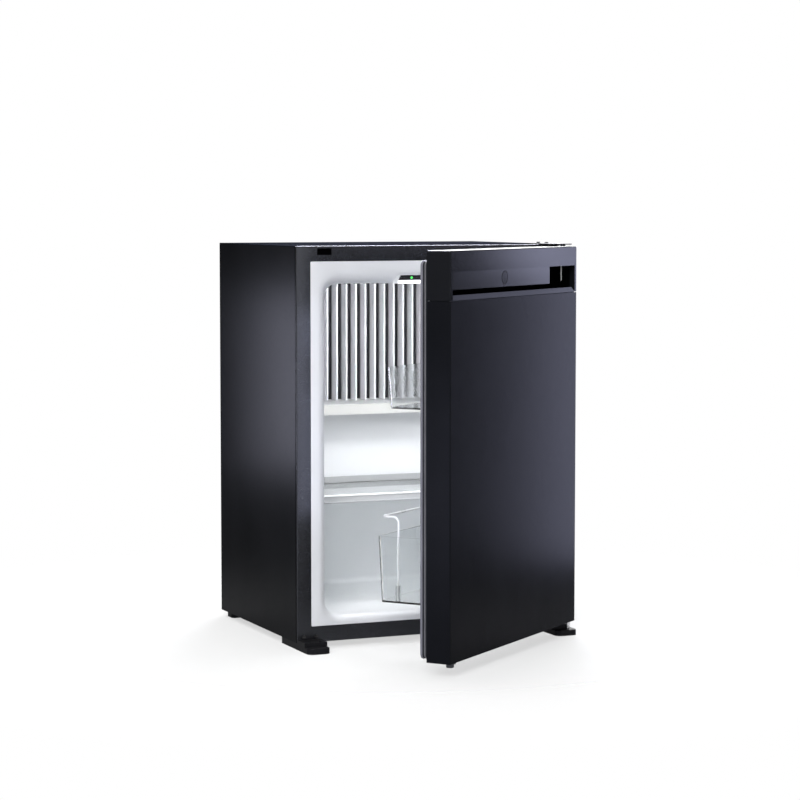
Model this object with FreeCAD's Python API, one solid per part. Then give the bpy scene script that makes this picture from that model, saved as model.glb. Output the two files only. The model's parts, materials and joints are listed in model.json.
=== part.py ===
import FreeCAD, Part
import math
import os
from FreeCAD import Vector

# Small hotel refrigerator, in millimetres. X points to the viewer's right, Y to the back, Z up.
# The origin is on the floor, under the middle of the cabinet.
# The door is drawn shut and then swung to the angle at which it stands ajar.

# Shared values
overrun = 2.0
fit_gap = 0.2
running_gap = 0.05

# Cabinet
cabinet_width = 410.0
cabinet_height = 545.0
cabinet_depth = 316.0
floor_gap = 9.0
sheet = 1.2

# Front frame
frame_side = 21.0
frame_top = 21.0
frame_bottom = 22.0
frame_thickness = 4.5
frame_edge_round = 1.5
frame_opening_round = 1.5
strike_width = 21.0
strike_height = 9.0
strike_from_side = 31.0
strike_from_top = 3.2
strike_depth = 3.3

# Inner liner
liner_wall = 2.0
cavity_side = 44.5
cavity_top = 52.0
cavity_bottom = 35.0
rear_insulation = 41.0
cavity_corner = 20.0
cavity_back_round = 8.0
flare_side = 33.0
flare_top = 33.0
flare_bottom = 25.0
flare_depth = 13.0
flare_corner = 31.0
flare_steps = 6
groove_first = 184.5
groove_top_gap = 34.3
groove_count = 6
groove_rib = 17.7
groove_slant = 6.0
groove_depth = 4.0
groove_front = 6.0
groove_back_gap = 8.0

# Cold plate and drain
fin_plate = 3.0
fin_thickness = 2.0
fin_depth = 23.0
fin_count = 19
fin_side_margin = 6.0
fin_side_gap = 16.7
fin_ceiling_gap = 9.0
fin_height = 172.0
plug_side_gap = 48.8
plug_top_gap = 8.0
plug_height = 78.0
sensor_radius = 3.5
sensor_length = 26.0
sensor_from_bottom = 40.0
channel_side_gap = 10.5
channel_depth = 34.0
channel_height = 15.0
channel_wall = 2.0
channel_below_fins = 6.0
drain_radius = 5.0
drain_bore = 3.6

# Light and control strip on the header
light_width = 106.0
light_slant = 4.0
light_border = 8.0
light_front = 2.2
light_depth = 34.0
light_rise = 13.6
light_below_ceiling = 0.8
strip_rise = 3.8
strip_height = 7.0
strip_thickness = 2.0
strip_proud = 0.4
diffuser_depth = 12.0
diffuser_gap = 0.3
status_radius = 1.7
status_length = 1.6
status_proud = 0.3
status_x = -33.0

# Feet
foot_width = 33.0
foot_under = 60.0
foot_step = 29.0
foot_step_rise = 5.0
foot_lip = 45.0
foot_lip_height = 8.0
foot_corner = 9.0
foot_edge_round = 1.4
hinge_step_gap = 11.0
rear_foot_width = 30.0
rear_foot_depth = 26.0
rear_foot_inset = 6.0
rear_foot_corner = 6.0
screw_head_radius = 2.6
screw_head_height = 1.6
screw_shank_radius = 1.5
screw_slot_width = 0.8
screw_slot_depth = 0.7
frame_screw_rise = 8.4
frame_screw_places = (9.5, 27.5)
foot_screw_head_radius = 4.0
foot_screw_head_height = 2.6
foot_screw_shank_radius = 2.0
foot_screw_places = (18.0, 46.0)

# Door
door_side_inset = 8.5
door_thickness = 34.0
door_bottom_rise = 10.0
door_top_drop = 2.0
door_edge_round = 1.6
door_open_angle = 38.7
seal_gap = 1.3
hinge_from_edge = 15.0
hinge_from_face = 21.0
hinge_pin_radius = 3.0
hinge_bush_radius = 6.0
hinge_bush_length = 14.0
hinge_pin_reach = 11.0
hinge_stud_from_side = 6.5
hinge_stud_radius = 2.8
hinge_stud_top_gap = 1.5
spare_from_edge = 32.0
spare_from_face = 16.0
spare_bush_radius = 5.2
spare_bush_drop = 10.0
spare_flange_radius = 7.5
spare_flange_height = 5.0
hinge_plate_thickness = 1.5
hinge_plate_width = 34.0
hinge_plate_back = 52.0
hinge_plate_front = 11.0
hinge_plate_corner = 6.0
hinge_screw_places = (14.0, 40.0)

# Handle cap, the moulded top of the door
cap_height = 64.0
cap_wall = 2.6
cap_edge_round = 1.6
cap_corner_round = 4.0
joint_gap = 0.9
band_height = 27.0
recess_height = 30.5
recess_margin = 6.5
recess_depth = 22.7
lip_slant = 2.4
plate_height = 23.5
plate_thickness = 12.0
plate_setback = 2.6
plate_end_round = 9.0
pocket_width = 71.5
blank_radius = 8.4
blank_depth = 2.4
blank_gap = 0.45
blank_from_edge = 165.0
blank_from_top = 38.5

# Door lining and seal
bottom_cap_plate = 4.0
bottom_boss_radius = 10.0
bottom_boss_height = 16.0
lining = 2.5
lining_end_gap = 3.0
gasket_inset = 1.5
gasket_hinge_shift = 4.5
gasket_width = 9.0
gasket_height = 10.5
gasket_round = 4.0
gasket_corner = 7.0
gasket_top_gap = 13.5
gasket_bottom_gap = 4.0
magnet_width = 4.0
magnet_height = 2.6
magnet_base = 2.0
magnet_end_gap = 14.0
dyke_inset = 42.0
dyke_width = 8.0
dyke_depth = 31.0
dyke_bottom_gap = 55.0
dyke_top_gap = 60.0
dyke_corner = 16.0
dyke_inner_corner = 9.0
dyke_round = 3.2

# Door bins
bin_wall = 2.2
bin_side_gap = 4.5
bin_back_gap = 2.5
bin_corner = 6.0
bin_inner_corner = 4.0
tray_drop = 95.5
tray_height = 54.5
tray_reach_bottom = 118.0
tray_reach_top = 123.3
bin_rise = 9.5
bin_height = 87.8
bin_reach_bottom = 131.6
bin_reach_top = 136.5
hook_drop = 16.0
hook_height = 9.0
hook_length = 16.0
hook_from_back = 8.0
lug_height = 8.0
lug_clear = 0.4
rest_gap = 0.2
wire_radius = 1.5
wire_bend = 8.0
wire_inset = 6.0
wire_leg_reach = 107.4
wire_rail_reach = 131.2
wire_rise = 26.2
socket_radius = 3.6
socket_height = 20.0
socket_gap = 0.1

# Shelf
shelf_front = 100.0
shelf_back_gap = 10.0
shelf_glass = 3.2
shelf_side_gap = 1.5
shelf_trim_height = 10.6
shelf_trim_depth = 13.0
shelf_trim_lip = 2.0
shelf_trim_cover = 0.8
shelf_bead = 1.7
shelf_bead_depth = 0.8
shelf_trim_side_gap = 1.6
shelf_rear_rise = 14.0
shelf_travel = 8.0
stop_height = 3.0
stop_length = 4.0
stop_gap = 0.6

# Cooling unit behind the cabinet
tube_radius = 8.0
tube_bend = 16.0
feed_radius = 5.0
feed_bend = 10.0
tube_gap = 0.3
coil_side_gap = 57.0
coil_return_gap = 36.0
coil_first_share = 0.268
coil_pitch_share = 0.0624
coil_passes = 5
coil_axis = 40.0
vessel_radius = 28.0
vessel_side_gap = 33.0
vessel_height = 66.0
vessel_round = 14.0
boiler_radius = 29.0
boiler_side_gap = 77.0
boiler_bottom = 40.0
boiler_share = 0.477
boiler_round = 8.0
boiler_gap = 15.0
condenser_drop = 71.0
condenser_side_gap = 55.0
condenser_riser_gap = 53.0
condenser_fin_size = 54.0
condenser_fin_thickness = 1.0
condenser_fin_count = 24
return_gap = 29.0
evaporator_rise = 22.0
evaporator_front_gap = 6.0
dish_gap = 7.0
dish_width = 92.0
dish_depth = 52.0
dish_height = 20.0
dish_wall = 1.6
strap_side_gap = 40.0
strap_height = 22.0
strap_thickness = 2.0
strap_foot = 15.0
strap_post = 9.0
strap_post_inset = 36.0
box_side_gap = 19.0
box_width = 96.0
box_height = 58.0
box_depth = 46.0
box_coil_gap = 16.0
box_wall = 2.2
box_round = 4.0
inlet_width = 28.0
inlet_height = 20.0
inlet_depth = 17.0
inlet_corner = 3.0
inlet_flange = 3.0
inlet_flange_thickness = 2.0
inlet_blade_width = 4.0
inlet_blade_thickness = 2.0
inlet_blade_length = 13.0
inlet_blade_pitch = 7.0

# Places worked out from the sizes above
left = -cabinet_width / 2
right = cabinet_width / 2
front = -cabinet_depth / 2
back = cabinet_depth / 2
bottom = floor_gap
top = floor_gap + cabinet_height
panel_front = front + frame_thickness
cavity_left = left + cavity_side
cavity_right = right - cavity_side
cavity_floor = bottom + cavity_bottom
cavity_ceiling = top - cavity_top
cavity_back = back - rear_insulation
cavity_mouth = front + flare_depth
door_left = left + door_side_inset
door_right = right - door_side_inset
door_face = front - door_thickness - gasket_height - seal_gap
door_back = door_face + door_thickness
door_bottom = bottom + door_bottom_rise
door_top = top - door_top_drop
joint_height = door_top - cap_height
hinge_x = door_right - hinge_from_edge
hinge_y = door_face + hinge_from_face
stud_x = right - hinge_stud_from_side
spare_x = door_left + spare_from_edge
spare_y = door_face + spare_from_face
recess_top = door_top - band_height
recess_bottom = recess_top - recess_height
recess_left = door_left + recess_margin
recess_right = door_right - recess_margin
dyke_left = door_left + dyke_inset
dyke_right = door_right - dyke_inset
dyke_back = door_back + dyke_depth
dyke_low = door_bottom + dyke_bottom_gap
dyke_high = door_top - dyke_top_gap
bin_left = dyke_left + dyke_width + bin_side_gap
bin_right = dyke_right - dyke_width - bin_side_gap
bin_back = door_back + bin_back_gap
tray_top = dyke_high - tray_drop
bin_bottom = dyke_low + bin_rise
bin_top = bin_bottom + bin_height
shelf_level = bottom + groove_first
shelf_face = front + shelf_front
step_top = bottom + foot_step_rise
groove_pitch = (cavity_ceiling - shelf_level - groove_top_gap) / groove_count
groove_height = groove_pitch - groove_rib
fin_face = cavity_back - fin_plate - fin_depth
fin_right = cavity_right - fin_side_gap
fin_span = 2 * (fin_right - fin_side_margin)
fin_pitch = (fin_span - fin_thickness) / (fin_count - 1)
fin_top = cavity_ceiling - fin_ceiling_gap
fin_bottom = fin_top - fin_height
plug_right = fin_right - plug_side_gap
plug_top = fin_top - plug_top_gap
plug_bottom = plug_top - plug_height
channel_right = cavity_right - channel_side_gap
channel_top = fin_bottom - channel_below_fins
light_bottom = cavity_ceiling - light_below_ceiling
light_top = cavity_ceiling + light_rise
light_face = front + light_front
strip_bottom = cavity_ceiling + strip_rise
strip_top = strip_bottom + strip_height
unit_y = back + coil_axis
boiler_x = right - boiler_side_gap
boiler_left = boiler_x - boiler_radius
boiler_foot = bottom + boiler_bottom
boiler_top = boiler_foot + cabinet_height * boiler_share
drain_x = boiler_left - boiler_gap
drain_height = channel_top - channel_height + channel_wall + drain_radius
return_x = boiler_left - tube_radius - return_gap
feed_x = -return_x
coil_left = left + coil_side_gap
coil_right = return_x - coil_return_gap
coil_pitch = cabinet_height * coil_pitch_share
coil_first = bottom + cabinet_height * coil_first_share
coil_levels = [coil_first + coil_pitch * number for number in range(coil_passes)]
vessel_left = left + vessel_side_gap
vessel_right = boiler_left - boiler_gap
vessel_level = bottom + vessel_height
dish_floor = vessel_level + vessel_radius + fit_gap
dish_right = boiler_left - dish_gap
condenser_left = left + condenser_side_gap
condenser_right = boiler_x - condenser_riser_gap
condenser_level = top - condenser_drop
condenser_fin_pitch = (condenser_right - condenser_left) / (condenser_fin_count + 1)
evaporator_level = plug_bottom + evaporator_rise
tube_entry = cavity_back + evaporator_front_gap + fit_gap
box_left = left + box_side_gap
box_right = box_left + box_width
box_bottom = coil_levels[-1] + tube_radius + box_coil_gap
box_top = box_bottom + box_height
box_face = back + box_depth

os.makedirs("parts", exist_ok=True)


def block(x0, x1, y0, y1, z0, z1):
    return Part.makeBox(x1 - x0, y1 - y0, z1 - z0, Vector(x0, y0, z0))


def rod(radius, start, end):
    along = end - start
    return Part.makeCylinder(radius, along.Length, start, along)


def rounded_wire(place, a0, a1, b0, b1, radius):
    """Rectangle with round corners, drawn in the plane that place(a, b) gives."""
    bulge = radius * (1 - math.sqrt(0.5))
    a_in, a_out = a0 + radius, a1 - radius
    b_in, b_out = b0 + radius, b1 - radius
    runs = [
        (place(a_in, b0), place(a_out, b0), place(a1 - bulge, b0 + bulge)),
        (place(a1, b_in), place(a1, b_out), place(a1 - bulge, b1 - bulge)),
        (place(a_out, b1), place(a_in, b1), place(a0 + bulge, b1 - bulge)),
        (place(a0, b_out), place(a0, b_in), place(a0 + bulge, b0 + bulge)),
    ]
    edges = []
    for number, (start, end, corner) in enumerate(runs):
        following = runs[(number + 1) % len(runs)][0]
        edges.append(Part.LineSegment(start, end).toShape())
        edges.append(Part.Arc(end, corner, following).toShape())
    return Part.Wire(edges)


def slab_y(x0, x1, y0, y1, z0, z1, radius):
    """Block whose four edges along Y are round."""
    wire = rounded_wire(lambda a, b: Vector(a, y0, b), x0, x1, z0, z1, radius)
    return Part.Face(wire).extrude(Vector(0, y1 - y0, 0))


def slab_z(x0, x1, y0, y1, z0, z1, radius):
    """Block whose four edges along Z are round."""
    wire = rounded_wire(lambda a, b: Vector(a, b, z0), x0, x1, y0, y1, radius)
    return Part.Face(wire).extrude(Vector(0, 0, z1 - z0))


def prism(points, along):
    return Part.Face(Part.makePolygon(points + points[:1])).extrude(along)


def prism_x(profile, x0, x1):
    """Polygon of (y, z) points drawn out along X."""
    return prism([Vector(x0, y, z) for y, z in profile], Vector(x1 - x0, 0, 0))


def prism_y(profile, y0, y1):
    """Polygon of (x, z) points drawn out along Y."""
    return prism([Vector(x, y0, z) for x, z in profile], Vector(0, y1 - y0, 0))


def fuse(shapes):
    return shapes[0].fuse(shapes[1:]).removeSplitter()


def mirrored(shape):
    return shape.mirror(Vector(0, 0, 0), Vector(1, 0, 0))


def soften(shape, radius, wanted):
    """Round the edges that wanted(box) picks by their bounds."""
    return shape.makeFillet(radius, [edge for edge in shape.Edges if wanted(edge.BoundBox)])


def at(value, place):
    return abs(value - place) < fit_gap


def in_plane_y(place):
    return lambda box: at(box.YMin, place) and at(box.YMax, place)


def in_plane_z(place):
    return lambda box: at(box.ZMin, place) and at(box.ZMax, place)


def bent_tube(points, radius, bend):
    """Round bar along straight runs joined by tangent arcs."""
    edges = []
    start = points[0]
    for before, corner, after in zip(points, points[1:], points[2:]):
        inward = (before - corner).normalize()
        outward = (after - corner).normalize()
        half_turn = inward.getAngle(outward) / 2
        setback = bend / math.tan(half_turn)
        toward = (inward + outward).normalize()
        middle = corner + toward * (bend / math.sin(half_turn) - bend)
        first = corner + inward * setback
        last = corner + outward * setback
        if (first - start).Length > fit_gap:
            edges.append(Part.LineSegment(start, first).toShape())
        edges.append(Part.Arc(first, middle, last).toShape())
        start = last
    edges.append(Part.LineSegment(start, points[-1]).toShape())
    direction = points[1] - points[0]
    section = Part.Wire(Part.makeCircle(radius, points[0], direction))
    return Part.Wire(edges).makePipeShell([section], True, True)


def screw(place, direction, head_radius, head_height, shank_radius, shank_length):
    """Slotted screw: place is under the head, direction points out of the head."""
    head = Part.makeCylinder(head_radius, head_height, place, direction)
    shank = Part.makeCylinder(shank_radius, shank_length, place, -direction)
    return head.fuse(shank).removeSplitter()


def swing(shape):
    """Turn a piece of the shut door to where the door stands ajar."""
    shape.rotate(Vector(hinge_x, hinge_y, 0), Vector(0, 0, 1), door_open_angle)
    return shape


def save(node, shape):
    shape.exportStep("parts/" + node + ".step")


# Cabinet panels

def side_panel(side_left):
    return block(side_left, side_left + sheet, panel_front, back, bottom, top - sheet)


def top_panel():
    panel = block(left, right, panel_front, back, top - sheet, top)
    depth = Vector(0, 0, hinge_plate_thickness + sheet)
    holes = [rod(screw_shank_radius + fit_gap, place - depth, place) for place in hinge_screw_points()]
    return panel.cut(holes)


def base_panel():
    panel = block(left + sheet, right - sheet, panel_front, back - sheet, bottom, bottom + sheet)
    rise = Vector(0, 0, bottom + sheet)
    holes = [rod(foot_screw_shank_radius + fit_gap, place, place + rise) for place in foot_screw_points()]
    return panel.cut(holes)


def rear_panel():
    panel = block(left + sheet, right - sheet, back - sheet, back, bottom, top - sheet)
    drain_hole = rod(drain_radius + fit_gap, drain_point(back - sheet - overrun),
                     drain_point(back + overrun))
    return panel.cut(plug_window(fit_gap)).cut(drain_hole)


def drain_point(y):
    return Vector(drain_x, y, drain_height)


def plug_window(gap):
    return block(-plug_right - gap, plug_right + gap, cavity_back - overrun, back + overrun,
                 plug_bottom - gap, plug_top + gap)


def front_frame():
    body = block(left, right, front, panel_front, bottom, top)
    body = soften(body, frame_edge_round, in_plane_y(front))
    opening = slab_y(left + frame_side, right - frame_side, front - overrun, panel_front + overrun,
                     bottom + frame_bottom, top - frame_top, frame_opening_round)
    strike = block(left + strike_from_side, left + strike_from_side + strike_width,
                   front - overrun, front + strike_depth,
                   top - strike_from_top - strike_height, top - strike_from_top)
    body = body.cut([opening, strike, mirrored(strike)])
    for place in frame_screw_points():
        body = body.cut(rod(screw_shank_radius + fit_gap, place, place + Vector(0, frame_thickness, 0)))
    return body


def frame_screw_points():
    places = []
    for inset in frame_screw_places:
        for x in (left + inset, right - inset):
            places.append(Vector(x, front, bottom + frame_screw_rise))
    return places


def frame_screws():
    outward = Vector(0, -1, 0)
    made = []
    for place in frame_screw_points():
        body = screw(place, outward, screw_head_radius, screw_head_height, screw_shank_radius,
                     frame_thickness)
        slot = block(place.x - screw_head_radius, place.x + screw_head_radius,
                     front - screw_head_height - overrun, front - screw_head_height + screw_slot_depth,
                     place.z - screw_slot_width / 2, place.z + screw_slot_width / 2)
        made.append(body.cut(slot))
    return Part.makeCompound(made)


# Inner liner

def mouth_section(turn):
    """Outline of the rounded mouth, from the flange at turn 0 to the straight walls at a right angle."""
    share = math.sin(turn)
    y = front + flare_depth * (1 - math.cos(turn))
    side = flare_side + (cavity_side - flare_side) * share
    upper = flare_top + (cavity_top - flare_top) * share
    lower = flare_bottom + (cavity_bottom - flare_bottom) * share
    corner = flare_corner + (cavity_corner - flare_corner) * share
    return rounded_wire(lambda a, b: Vector(a, y, b), left + side, right - side,
                        bottom + lower, top - upper, corner)


def mouth_flare():
    turns = [math.pi / 2 * step / flare_steps for step in range(flare_steps + 1)]
    return Part.makeLoft([mouth_section(turn) for turn in turns], True, False)


def groove_levels():
    return [shelf_level + groove_pitch * number for number in range(groove_count)]


def groove(level, depth, margin):
    """Shelf groove in the left wall, with its upper side slanted."""
    inner = cavity_left + overrun
    outer = cavity_left - depth
    upper = level + groove_height + margin
    profile = [(inner, level - margin), (outer, level - margin), (outer, upper - groove_slant),
               (cavity_left, upper), (inner, upper)]
    return prism_y(profile, front + groove_front - margin, cavity_back - groove_back_gap + margin)


def shelf_stop(level):
    """Bump on a groove's floor that keeps the shelf from sliding out."""
    end = shelf_face + shelf_trim_lip - shelf_travel - stop_gap
    outer = cavity_left - groove_depth
    return block(outer, cavity_left, end - stop_length, end, level, level + stop_height)


def inner_liner():
    flange = slab_y(left + frame_side + fit_gap, right - frame_side - fit_gap, front, front + liner_wall,
                    bottom + frame_bottom + fit_gap, top - frame_top - fit_gap, frame_opening_round)
    mouth = slab_y(left + flare_side - liner_wall, right - flare_side + liner_wall,
                   front, cavity_mouth + liner_wall,
                   bottom + flare_bottom - liner_wall, top - flare_top + liner_wall, flare_corner)
    tub = slab_y(cavity_left - liner_wall, cavity_right + liner_wall, front, cavity_back + liner_wall,
                 cavity_floor - liner_wall, cavity_ceiling + liner_wall, cavity_corner + liner_wall)
    tub = soften(tub, cavity_back_round + liner_wall, in_plane_y(cavity_back + liner_wall))
    bulges = []
    hollows = []
    stops = []
    for level in groove_levels():
        bulge = groove(level, groove_depth + liner_wall, liner_wall)
        hollow = groove(level, groove_depth, 0)
        bulges += [bulge, mirrored(bulge)]
        hollows += [hollow, mirrored(hollow)]
        stops += [shelf_stop(level), mirrored(shelf_stop(level))]
    cavity = slab_y(cavity_left, cavity_right, cavity_mouth, cavity_back, cavity_floor, cavity_ceiling,
                    cavity_corner)
    cavity = soften(cavity, cavity_back_round, in_plane_y(cavity_back))
    body = fuse([flange, mouth, tub] + bulges)
    body = body.cut([cavity, mouth_flare()] + hollows)
    body = fuse([body] + stops)
    drain_hole = rod(drain_radius + fit_gap, drain_point(cavity_back - overrun),
                     drain_point(cavity_back + liner_wall + overrun))
    return body.cut([light_shape(fit_gap, front - overrun), plug_window(fit_gap), drain_hole])


def cabinet_foam():
    body = block(left + sheet + fit_gap, right - sheet - fit_gap,
                 panel_front + fit_gap, back - sheet - fit_gap,
                 bottom + sheet + fit_gap, top - sheet - fit_gap)
    room = liner_wall + fit_gap
    tub = block(cavity_left - groove_depth - room, cavity_right + groove_depth + room,
                front, cavity_back + room, cavity_floor - room, cavity_ceiling + room)
    mouth = block(left + flare_side - room, right - flare_side + room, front, cavity_mouth + room,
                  bottom + flare_bottom - room, top - flare_top + room)
    drain_hole = rod(drain_radius + fit_gap, drain_point(cavity_back), drain_point(back + overrun))
    return body.cut([tub, mouth, light_shape(2 * fit_gap, front), plug_window(fit_gap), drain_hole])


# Cold plate, plug and drain

def evaporator_fins():
    made = [block(-fin_right, fin_right, cavity_back - fin_plate, cavity_back, fin_bottom, fin_top)]
    for number in range(fin_count):
        x = -fin_span / 2 + fin_pitch * number
        made.append(block(x, x + fin_thickness, fin_face, cavity_back - fin_plate + fit_gap,
                          fin_bottom, fin_top))
    return fuse(made)


def evaporator_plug():
    body = block(-plug_right, plug_right, cavity_back + fit_gap, back, plug_bottom, plug_top)
    holes = []
    for x, radius in ((feed_x, feed_radius), (return_x, tube_radius)):
        start = Vector(x, cavity_back + evaporator_front_gap, evaporator_level)
        holes.append(rod(radius + tube_gap, start, Vector(x, back + overrun, evaporator_level)))
    return body.cut(holes)


def temperature_sensor():
    x = (fin_thickness + fin_pitch - fin_span) / 2
    start = Vector(x, cavity_back - fin_plate - sensor_radius - fit_gap, fin_bottom + sensor_from_bottom)
    body = rod(sensor_radius, start, start + Vector(0, 0, sensor_length))
    return soften(body, sensor_radius / 2, in_plane_z(start.z + sensor_length))


def drip_channel():
    """Gutter that the back wall of the liner closes behind."""
    low = channel_top - channel_height
    y0 = cavity_back - channel_depth
    body = block(-channel_right, channel_right, y0, cavity_back, low, channel_top)
    inside = block(-channel_right + channel_wall, channel_right - channel_wall, y0 + channel_wall,
                   cavity_back + overrun, low + channel_wall, channel_top + overrun)
    return body.cut(inside)


def drain_tube():
    end = Vector(drain_x, unit_y, dish_floor + dish_height)
    points = [drain_point(cavity_back - channel_wall), drain_point(unit_y), end]
    bore = bent_tube(points, drain_bore, drain_radius * 2)
    return bent_tube(points, drain_radius, drain_radius * 2).cut(bore)


# Light and control strip

def light_shape(gap, start):
    """Housing of the light, wider at its foot, let into the header."""
    foot = light_width / 2 + light_border + gap
    head = foot - light_slant * 2
    profile = [(-foot, light_bottom - gap), (foot, light_bottom - gap),
               (head, light_top + gap), (-head, light_top + gap)]
    return prism_y(profile, start, light_face + light_depth + gap)


def strip_shape(gap, start, end):
    foot = light_width / 2 + gap
    head = foot - light_slant
    profile = [(-foot, strip_bottom - gap), (foot, strip_bottom - gap),
               (head, strip_top + gap), (-head, strip_top + gap)]
    return prism_y(profile, start, end)


def diffuser_shape(gap):
    half = light_width / 2 + gap
    return block(-half, half, light_face - overrun, light_face + diffuser_depth + gap,
                 light_bottom - overrun, strip_bottom - diffuser_gap + gap)


def light_housing():
    pocket = strip_shape(fit_gap, light_face - overrun, light_face + strip_thickness)
    return light_shape(0, light_face).cut([pocket, diffuser_shape(fit_gap)])


def status_point(y):
    return Vector(status_x, y, (strip_bottom + strip_top) / 2)


def control_strip():
    body = strip_shape(0, light_face - strip_proud, light_face + strip_thickness - fit_gap)
    lamp = rod(status_radius + running_gap, status_point(light_face - strip_proud - overrun),
               status_point(light_face - strip_proud + status_length - status_proud))
    return body.cut(lamp)


def status_light():
    start = light_face - strip_proud - status_proud
    return rod(status_radius, status_point(start), status_point(start + status_length))


def light_diffuser():
    return diffuser_shape(0).common(light_shape(0, light_face))


# Feet and hinges

def front_foot(side):
    """Foot bracket on the left; the right one is its mirror image and carries the hinge pin and a stud."""
    x0, x1 = left, left + foot_width
    under = block(x0, x1, front - overrun, front + foot_under, 0, bottom)
    step_start = x0 + hinge_step_gap if side > 0 else x0
    step = block(step_start, x1, front - foot_step, front, 0, step_top)
    lip = slab_z(x0, x1, front - foot_lip, front + foot_corner * 2, 0, foot_lip_height, foot_corner)
    lip = soften(lip, foot_edge_round, in_plane_z(foot_lip_height))
    body = fuse([under, step, lip])
    body = body.cut(rod(hinge_pin_radius, Vector(-hinge_x, hinge_y, foot_edge_round),
                        Vector(-hinge_x, hinge_y, step_top + overrun)))
    if side > 0:
        body = body.cut(rod(hinge_stud_radius, Vector(-stud_x, hinge_y, foot_edge_round),
                            Vector(-stud_x, hinge_y, step_top)))
    for place in foot_screw_places:
        x = left + foot_width / 2
        body = body.cut(rod(foot_screw_head_radius + fit_gap, Vector(x, front + place, -overrun),
                            Vector(x, front + place, foot_screw_head_height + fit_gap)))
        body = body.cut(rod(foot_screw_shank_radius + fit_gap, Vector(x, front + place, 0),
                            Vector(x, front + place, bottom + overrun)))
    return mirrored(body) if side > 0 else body


def rear_foot(side):
    x0 = left + rear_foot_inset
    y1 = back - rear_foot_inset
    body = slab_z(x0, x0 + rear_foot_width, y1 - rear_foot_depth, y1, 0, bottom, rear_foot_corner)
    place = rear_foot_screw()
    body = body.cut(rod(foot_screw_head_radius + fit_gap, Vector(place.x, place.y, -overrun),
                        Vector(place.x, place.y, foot_screw_head_height + fit_gap)))
    body = body.cut(rod(foot_screw_shank_radius + fit_gap, place,
                        Vector(place.x, place.y, bottom + overrun)))
    return mirrored(body) if side > 0 else body


def rear_foot_screw():
    x = left + rear_foot_inset + rear_foot_width / 2
    y = back - rear_foot_inset - rear_foot_depth / 2
    return Vector(x, y, 0)


def foot_screw_points():
    x = left + foot_width / 2
    places = [Vector(x, front + place, 0) for place in foot_screw_places] + [rear_foot_screw()]
    return places + [Vector(-place.x, place.y, 0) for place in places]


def foot_screws():
    made = []
    for place in foot_screw_points():
        seat = Vector(place.x, place.y, foot_screw_head_height)
        made.append(screw(seat, Vector(0, 0, -1), foot_screw_head_radius, foot_screw_head_height - fit_gap,
                          foot_screw_shank_radius, bottom + sheet - foot_screw_head_height))
    return Part.makeCompound(made)


def hinge_point(z):
    return Vector(hinge_x, hinge_y, z)


def lower_hinge_pin():
    """Hinge pin and, beside it, the stud that shows under the door's corner."""
    pin = rod(hinge_pin_radius, hinge_point(foot_edge_round), hinge_point(door_bottom + hinge_pin_reach))
    pin = soften(pin, hinge_pin_radius / 3, in_plane_z(door_bottom + hinge_pin_reach))
    stud_top = door_bottom - hinge_stud_top_gap
    stud = rod(hinge_stud_radius, Vector(stud_x, hinge_y, foot_edge_round), Vector(stud_x, hinge_y, stud_top))
    stud = soften(stud, hinge_stud_radius / 3, in_plane_z(stud_top))
    return Part.makeCompound([pin, stud])


def upper_hinge_pin():
    tip = door_top - hinge_pin_reach
    pin = rod(hinge_pin_radius, hinge_point(top + hinge_plate_thickness), hinge_point(tip))
    return soften(pin, hinge_pin_radius / 3, in_plane_z(tip))


def upper_hinge_plate():
    x0 = hinge_x - hinge_plate_width / 2
    plate = slab_z(x0, x0 + hinge_plate_width, hinge_y - hinge_plate_front, front + hinge_plate_back,
                   top, top + hinge_plate_thickness, hinge_plate_corner)
    through = Vector(0, 0, overrun)
    holes = [rod(hinge_pin_radius, hinge_point(top) - through, hinge_point(top) + through)]
    for place in hinge_screw_points():
        holes.append(rod(screw_shank_radius + fit_gap, place - through, place + through))
    return plate.cut(holes)


def hinge_screw_points():
    return [Vector(hinge_x, front + place, top + hinge_plate_thickness) for place in hinge_screw_places]


def hinge_screws():
    made = [screw(place, Vector(0, 0, 1), screw_head_radius, screw_head_height, screw_shank_radius,
                  hinge_plate_thickness + sheet) for place in hinge_screw_points()]
    return Part.makeCompound(made)


# Door

def door_skin():
    outside = slab_z(door_left, door_right, door_face, door_back + door_edge_round * 2, door_bottom,
                     joint_height - joint_gap, door_edge_round)
    beyond = block(door_left - overrun, door_right + overrun, door_back, door_back + door_thickness,
                   door_bottom - overrun, joint_height)
    inside = block(door_left + sheet, door_right - sheet, door_face + sheet, door_back + overrun,
                   door_bottom - overrun, joint_height)
    return swing(outside.cut([beyond, inside]))


def recess_shape(gap):
    return block(recess_left - gap, recess_right + gap, door_face - overrun, door_face + recess_depth + gap,
                 recess_bottom - gap, recess_top + gap)


def handle_cap():
    """Top of the door with the bare band, the deep handle recess and the slanted ledge under it."""
    outside = slab_y(door_left, door_right, door_face, door_back, joint_height - cap_corner_round, door_top,
                     cap_corner_round)
    outside = soften(outside, cap_edge_round, in_plane_y(door_face))
    below = block(door_left - overrun, door_right + overrun, door_face - overrun, door_back + overrun,
                  joint_height - cap_corner_round - overrun, joint_height)
    outside = outside.cut(below)
    inside = block(door_left + cap_wall, door_right - cap_wall, door_face + cap_wall, door_back + overrun,
                   joint_height - overrun, door_top - cap_wall)
    tub = recess_shape(cap_wall).common(outside)
    edge = door_face + lip_slant
    slant = [(door_face - overrun, recess_bottom + overrun), (door_face - overrun, joint_height),
             (door_face, joint_height), (edge, recess_bottom), (edge, recess_bottom + overrun)]
    ledge = prism_x(slant, recess_left, recess_right)
    body = fuse([outside.cut(inside), tub]).cut([recess_shape(0), ledge])
    boss = rod(hinge_bush_radius + cap_wall, hinge_point(door_top - hinge_bush_length - cap_wall),
               hinge_point(door_top - cap_wall / 2))
    body = fuse([body, boss]).cut(recess_shape(0))
    return swing(body.cut(bush_body(door_top - hinge_bush_length, door_top + overrun)))


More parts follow.
